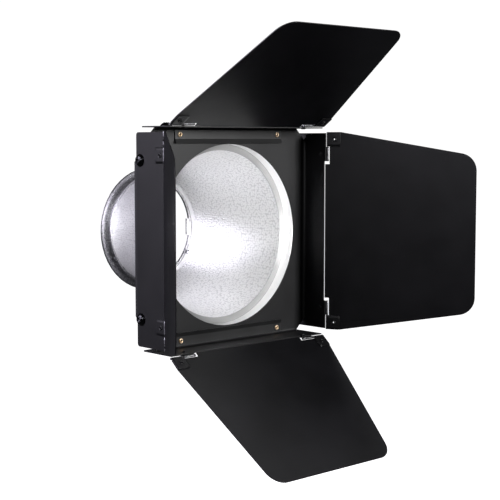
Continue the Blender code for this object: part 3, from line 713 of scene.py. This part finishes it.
# %% Sizes of a hinge half
HINGE_SHEET = 0.6 * MM
CURL_RADIUS = 0.95 * MM
CURL_TURN = 300.0
PLATE_LENGTH = 14.0 * MM
PLATE_CORNER = 1.5 * MM
PIN_RADIUS = 0.55 * MM
PIN_TIP = 0.4 * MM
PIN_COUNT = 24
RIVET_HOLE = 1.7 * MM
DRILL_REACH = 3.0 * MM
DRILL_COUNT = 32
EYELET_COUNT = 40
STRIP_HALF = 7.5 * MM
STRIP_COLUMNS = 7
CURL_POINTS = 28
FROM_TIP = np.array([0.0, 0.12, 0.35, 0.7, 1.1, 1.5, 4.0, 9.0, 14.0]) * MM
FLAT_FACES = (len(FROM_TIP) - 1) * (STRIP_COLUMNS - 1)


def curled_strip(span, towards, axes):
    """Make the middle surface of a hinge half between two places along the hinge.

    towards is -1 for a plate on the leaf and 1 on the frame. Along the strip the line is
    (-r, d) for the flat part, with d from the tip to 0, and then
    (-r cos a, -towards r sin a) round the pin."""
    flat = PLATE_LENGTH - FROM_TIP
    angle = np.radians(np.linspace(0.0, CURL_TURN, CURL_POINTS))[1:]
    line = np.concatenate([np.stack([np.full_like(flat, -CURL_RADIUS), towards * flat], -1),
                           np.stack([-CURL_RADIUS * np.cos(angle),
                                     -towards * CURL_RADIUS * np.sin(angle)], -1)])
    lack = np.clip(PLATE_CORNER - FROM_TIP, 0.0, None)
    inset = PLATE_CORNER - np.sqrt(PLATE_CORNER ** 2 - lack ** 2)
    inset = np.concatenate([inset, np.zeros(len(angle))])[:, None]
    across = np.linspace(0.0, 1.0, STRIP_COLUMNS)
    low, high = span
    along = (low + inset) + ((high - inset) - (low + inset)) * across
    local = np.stack([np.broadcast_to(line[:, :1], along.shape),
                      np.broadcast_to(line[:, 1:], along.shape), along], axis=-1)
    return set_down(local, axes), grid_faces(*along.shape)


def thicken_and_drill(strip, hole_axes):
    """Give a strip its thickness and drill the rivet's hole, and keep the result as its mesh.

    The drill is a cylinder about the outward direction of its axes."""
    sheet = strip.modifiers.new("sheet", "SOLIDIFY")
    sheet.thickness = HINGE_SHEET
    sheet.offset = 0.0
    drill_profile = [(0.0, -DRILL_REACH), (RIVET_HOLE, -DRILL_REACH),
                     (RIVET_HOLE, DRILL_REACH), (0.0, DRILL_REACH)]
    drill = make_piece("drill", turned_points(drill_profile, hole_axes, DRILL_COUNT),
                       grid_faces(len(drill_profile), DRILL_COUNT, close_cols=True),
                       HINGE_BLACK, "frame")
    cut = strip.modifiers.new("rivet hole", "BOOLEAN")
    cut.object = drill
    cut.solver = "EXACT"
    cut.operation = "DIFFERENCE"
    ready = strip.evaluated_get(bpy.context.evaluated_depsgraph_get())
    drilled = bpy.data.meshes.new_from_object(ready)
    strip.modifiers.clear()
    strip.data = drilled
    bpy.data.objects.remove(drill, do_unlink=True)


def eyelet_profile(bore, tube, head, rise, low, high):
    """Return the closed profile of a hollow rivet: half-ellipse lips joined by a tube."""
    middle, reach = (bore + head) / 2.0, (head - bore) / 2.0
    front = arc_points((middle, high), (reach, rise), 180.0, 0.0, 13)
    rear = arc_points((middle, low), (reach, rise), 360.0, 180.0, 13)
    return np.concatenate([front, [(tube, high), (tube, low)], rear])


def make_eyelet(name, node, axes, sizes, material, body):
    """Turn one hollow rivet and let it stand for its CAD node."""
    profile = eyelet_profile(*sizes)
    points = turned_points(profile, axes, EYELET_COUNT)
    piece = make_piece(name, points, grid_faces(len(profile), EYELET_COUNT, True, True),
                       material, body)
    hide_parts(node)


print("a curl of", CURL_TURN, "degrees on a", 2 * PIN_RADIUS / MM, "mm pin")

# %% Make the hinges
RIVET_SIZES = (0.9 * MM, 1.5 * MM, 2.4 * MM, 0.8 * MM)
RIVET_LIP = 0.9 * MM
for side in SIDES:
    for count in (1, 2):
        stem = f"{side}_hinge_{count}"
        for half, body, axes, towards in (("leaf", f"{side}_door", LEAN[side], -1),
                                          ("frame", "frame", AXES[side], 1)):
            node = f"{stem}_{half}_half"
            rivet_low, rivet_high = span_of(f"{stem}_{half}_rivet", axes)
            middle = (rivet_low + rivet_high) / 2.0
            rivet_axes = moved(axes, 0.0, middle[1], middle[2])
            span = (middle[2] - STRIP_HALF, middle[2] + STRIP_HALF)
            strip = make_piece(f"{node}_strip", *curled_strip(span, towards, axes),
                               HINGE_BLACK, body)
            # The curl's faces get the grey steel, as painted sheen on the black-painted knuckle.
            strip.data.materials.append(CURL_PAINTED_SHEEN)
            curl = np.arange(len(strip.data.polygons)) >= FLAT_FACES
            strip.data.polygons.foreach_set("material_index", curl.astype(np.int32))
            thicken_and_drill(strip, rivet_axes)
            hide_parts(node)
            make_eyelet(f"{stem}_{half}_eyelet", f"{stem}_{half}_rivet", rivet_axes,
                        (*RIVET_SIZES, rivet_low[0] + RIVET_LIP, rivet_high[0] - RIVET_LIP),
                        HINGE_BLACK, body)
        pin_low, pin_high = span_of(f"{stem}_frame_half", AXES[side])
        pin_profile = [(0.0, pin_low[2]), (PIN_RADIUS * 0.7, pin_low[2]),
                       (PIN_RADIUS, pin_low[2] + PIN_TIP), (PIN_RADIUS, pin_high[2] - PIN_TIP),
                       (PIN_RADIUS * 0.7, pin_high[2]), (0.0, pin_high[2])]
        origin, rows = AXES[side]
        pin_axes = (origin, rows[[2, 0, 1]])
        pin = make_piece(f"{stem}_pin", turned_points(pin_profile, pin_axes, PIN_COUNT),
                         grid_faces(len(pin_profile), PIN_COUNT, close_cols=True),
                         BRIGHT_ZINC, "frame")
print("hinges made")

# %% [markdown]
# ## Rail eyelets
# Four pale brass eyelets hold the rails on the plate. They are the same hollow rivet with a
# wider rolled lip.

# %% Make the rail eyelets
EYELET_RISE = 0.85 * MM
EYELET_SIZES = (0.85 * MM, 1.6 * MM, 2.75 * MM, EYELET_RISE)
for up in ("top", "bottom"):
    for hand in ("left", "right"):
        node = f"{up}_rail_rivet_{hand}"
        low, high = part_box(node)
        centre = np.array((low + high) / 2.0)
        forward = (np.array([centre[0], 0.0, centre[2]]),
                   np.array([[0.0, -1.0, 0.0], [1.0, 0.0, 0.0], [0.0, 0.0, 1.0]]))
        make_eyelet(f"{up}_rail_eyelet_{hand}", node, forward,
                    (*EYELET_SIZES, -high.y + EYELET_RISE, -low.y - EYELET_RISE), BRASS,
                    "frame")
print("rail eyelets made")

# %% [markdown]
# ## Dome screws
# Eight polished dome screws clamp the frame on the collar. The head is part of a ball with a
# cross recess. The whole head is one height over a polar grid: the ball's height, less a
# smooth cross that is deepest in its middle. Each screw stopped turning somewhere else, so no
# two crosses stand alike.

# %% Make the dome screws
HEAD_HEIGHT = 3.8 * MM
RECESS_REACH = 3.3 * MM
RECESS_HALF = 0.85 * MM
RECESS_DEPTH = 2.1 * MM
HEAD_COUNT = 96
SHANK_RADIUS = 2.5 * MM
SHANK_END = -5.0 * MM
HEAD_UNDER = -0.3 * MM


def smooth_fall(value):
    """Fall smoothly from 1 to 0 as the value goes from 0 to 1: 1 - 3v^2 + 2v^3."""
    value = np.clip(value, 0.0, 1.0)
    return 1.0 - 3.0 * value ** 2 + 2.0 * value ** 3


def head_height(back, along, radius):
    """Return the head's height: the ball's cap less the cross recess.

    The cap is h - (b - sqrt(b^2 - r^2)), with b the ball's radius. The cross is the deeper of
    two arms, each of which falls off across its width and along its length."""
    ball = (radius ** 2 + HEAD_HEIGHT ** 2) / (2.0 * HEAD_HEIGHT)
    cap = HEAD_HEIGHT - ball + np.sqrt(ball ** 2 - back ** 2 - along ** 2)

    def arm(width, length):
        """Return one arm's depth, from 0 to 1, at places across and along it."""
        wall = smooth_fall((np.abs(width) - RECESS_HALF * 0.55) / (RECESS_HALF * 0.9))
        slope = smooth_fall(np.abs(length) / RECESS_REACH)
        return wall * slope

    cross = np.maximum(arm(back, along), arm(along, back))
    return cap - RECESS_DEPTH * cross


def dome_screw(axes, radius, turn):
    """Make the head's polar grid, with its edge and a shank below it."""
    rings = np.concatenate([np.linspace(0.0, 0.66, 30), np.linspace(0.7, 1.0, 9)]) * radius
    angle = np.linspace(0.0, math.tau, HEAD_COUNT, endpoint=False)
    back = rings[:, None] * np.cos(angle)
    along = rings[:, None] * np.sin(angle)
    cosine, sine = math.cos(turn), math.sin(turn)
    height = head_height(back * cosine + along * sine, along * cosine - back * sine, radius)
    top = np.stack([height, back, along], axis=-1)
    under = [(radius, -0.25 * MM), (radius * 0.96, HEAD_UNDER), (SHANK_RADIUS, HEAD_UNDER),
             (SHANK_RADIUS, SHANK_END), (0.0, SHANK_END)]
    skirt = np.stack([np.stack([np.full_like(angle, level), reach * np.cos(angle),
                                reach * np.sin(angle)], axis=-1) for reach, level in under])
    grid = np.concatenate([top, skirt])
    return set_down(grid, axes), grid_faces(*grid.shape[:2], close_cols=True)


for number, side in enumerate(SIDES):
    for count in (1, 2):
        node = f"{side}_clamp_screw_{count}"
        low, high = span_of(node, AXES[side])
        head_axes = moved(AXES[side], high[0] - HEAD_HEIGHT, *((low + high)[1:] / 2.0))
        head_radius = (high[1] - low[1]) / 2.0
        turn = 0.5 + 0.9 * number + 0.37 * count
        screw = make_piece(f"{node}_dome", *dome_screw(head_axes, head_radius, turn),
                           BLACK_SCREW, "frame", smooth=50.0)
        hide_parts(node)
print("dome screws made, head radius", round(head_radius / MM, 2), "mm")

# %% [markdown]
# ## Reflector bowl
# The bowl is spun from one disc: a flange behind the plate, a straight smooth rim, a little
# grey step, the hammered parabola and the neck. It is one profile turned about the light
# axis. The parabola's radius follows r^2 = neck^2 + (step^2 - neck^2) x share of the depth
# left. The bowl carries the unwrapping that the dimples need, and each face gets the finish
# of its place.

# %% Draw the bowl's profile
bowl_low, bowl_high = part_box("reflector_bowl")
BOWL_SHEET = 1.2 * MM
FLANGE_RADIUS = bowl_high.x
RIM_RADIUS = 91.5 * MM
STEP_RADIUS = 84.9 * MM
NECK_RADIUS = 56.0 * MM
rim_front, neck_rear = bowl_low.y, bowl_high.y
rim_rear = rim_front + 12.4 * MM
bowl_rear = neck_rear - 6.0 * MM


def bowl_radius(back):
    """Return the parabola's inner radius at places along the light axis."""
    share = (bowl_rear - back) / (bowl_rear - rim_rear)
    return np.sqrt(NECK_RADIUS ** 2 + (STEP_RADIUS ** 2 - NECK_RADIUS ** 2) * share)


def bowl_profile(points=60):
    """Return the inner and then the outer skin as (radius, back)."""
    depth = np.linspace(rim_rear + 0.6 * MM, bowl_rear - 0.8 * MM, points)
    parabola = np.stack([bowl_radius(depth), depth], axis=-1)
    front_roll = arc_points((RIM_RADIUS + 0.5 * MM, rim_front + 0.5 * MM), (0.5 * MM,) * 2,
                            270.0, 180.0, 5)
    step_roll = arc_points((RIM_RADIUS - 0.6 * MM, rim_rear - 0.6 * MM), (0.6 * MM,) * 2,
                           0.0, 90.0, 6)
    lip_roll = arc_points((STEP_RADIUS + 0.6 * MM, rim_rear + 0.6 * MM), (0.6 * MM,) * 2,
                          270.0, 180.0, 6)
    neck_roll = arc_points((NECK_RADIUS + 0.8 * MM, bowl_rear + 0.35 * MM),
                           (0.8 * MM, 0.8 * MM), 225.0, 180.0, 4)
    inner = np.concatenate([[(FLANGE_RADIUS, rim_front)], front_roll, step_roll, lip_roll,
                            parabola[1:], neck_roll, [(NECK_RADIUS, neck_rear)]])
    outer_parabola = parabola[::-1] + np.array([BOWL_SHEET, 0.36 * MM])
    outer = np.concatenate([[(NECK_RADIUS + BOWL_SHEET, neck_rear),
                             (NECK_RADIUS + BOWL_SHEET, bowl_rear + 1.0 * MM)],
                            outer_parabola,
                            [(STEP_RADIUS + BOWL_SHEET + 0.5 * MM, rim_rear + BOWL_SHEET),
                             (RIM_RADIUS + BOWL_SHEET, rim_rear + BOWL_SHEET),
                             (RIM_RADIUS + BOWL_SHEET, rim_front + BOWL_SHEET),
                             (FLANGE_RADIUS, rim_front + BOWL_SHEET)]])
    return np.concatenate([inner, outer])


print("bowl profile of", len(bowl_profile()), "points")

# %% Turn the bowl and unwrap it
BOWL_COUNT = 256
MEAN_RADIUS = 72.0 * MM
BEHIND_STEP = 0.4 * MM
STEP_HALF_DEPTH = 0.7 * MM
profile = bowl_profile()
bowl_axes = (np.zeros(3), np.array([[0.0, 1.0, 0.0], [-1.0, 0.0, 0.0], [0.0, 0.0, 1.0]]))
bowl_points = turned_points(profile, bowl_axes, BOWL_COUNT)
bowl = make_piece("reflector_bowl_spun", bowl_points,
                  grid_faces(len(profile), BOWL_COUNT, True, True), SPUN, "frame")
bowl.data.materials.append(HAMMERED)
bowl.data.materials.append(STEP_PAINTED_SHADE)


def unwrap_bowl(data, mean_radius):
    """Give each corner (angle x mean radius, distance along the axis), in millimetres.

    A face that crosses the seam has its low angles raised by a whole turn."""
    loops = np.empty(len(data.loops), int)
    data.loops.foreach_get("vertex_index", loops)
    points = np.empty(len(data.vertices) * 3)
    data.vertices.foreach_get("co", points)
    points = points.reshape(-1, 3)[loops]
    angle = np.arctan2(points[:, 2], -points[:, 0]).reshape(-1, 4)
    wide = np.ptp(angle, axis=1, keepdims=True) > math.pi
    angle = np.where(wide & (angle < 0.0), angle + math.tau, angle)
    flat = np.stack([angle.ravel() * mean_radius, points[:, 1]], axis=-1) / MM
    layer = data.uv_layers.new(name="unwrap")
    layer.uv.foreach_set("vector", flat.ravel())


unwrap_bowl(bowl.data, MEAN_RADIUS)
centres = np.empty(len(bowl.data.polygons) * 3)
bowl.data.polygons.foreach_get("center", centres)
centres = centres.reshape(-1, 3)
reach = np.hypot(centres[:, 0], centres[:, 2])
on_bowl = (centres[:, 1] > rim_rear + BEHIND_STEP) & (centres[:, 1] < bowl_rear)
# The step's faces get the darker grey, which is painted shade.
on_step = ((np.abs(centres[:, 1] - rim_rear) < STEP_HALF_DEPTH) & (reach > STEP_RADIUS)
           & (reach < RIM_RADIUS))
bowl.data.polygons.foreach_set("material_index", (on_bowl + 2 * on_step).astype(np.int32))
bowl.data.update()
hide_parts("reflector_bowl")
print("bowl", len(bowl.data.polygons), "faces,", int(on_bowl.sum()), "hammered,",
      int(on_step.sum()), "on the step")

# %% [markdown]
# ## The bowl's own light
# A silver bowl among black sheets needs far more light than they do before it glows. The bowl
# light therefore falls on the bowl alone, which is what a studio does with flags and gobos.
# A light takes a collection of the things it may reach.

# %% Keep the bowl light on the bowl, and the front light off it


def link_light(light, name, piece, state):
    """Let a light reach only this piece, or all but this piece."""
    group = bpy.data.collections.new(name)
    group.objects.link(piece)
    group.collection_objects[0].light_linking.link_state = state
    light.light_linking.receiver_collection = group
    return group


groups = [link_light(bowl_light, "lit by the bowl light", bowl, "INCLUDE"),
          link_light(front_light, "passed over by the front light", bowl, "EXCLUDE")]

# %% [markdown]
# ## Bayonet ring
# The ring behind the neck locks the reflector on a lamp head. It is a turned sleeve with a
# flange, and three lugs reach inwards from it.

# %% Finish the bayonet ring and its rivets
for node in ["bayonet_ring"] + [f"bayonet_rivet_{n}" for n in (1, 2, 3)]:
    piece = frame["nodes"][node]
    piece.data.materials.clear()
    piece.data.materials.append(BRIGHT_ZINC)
    soften(piece, width=0.15 * MM, weld=True)
print("bayonet ring finished")
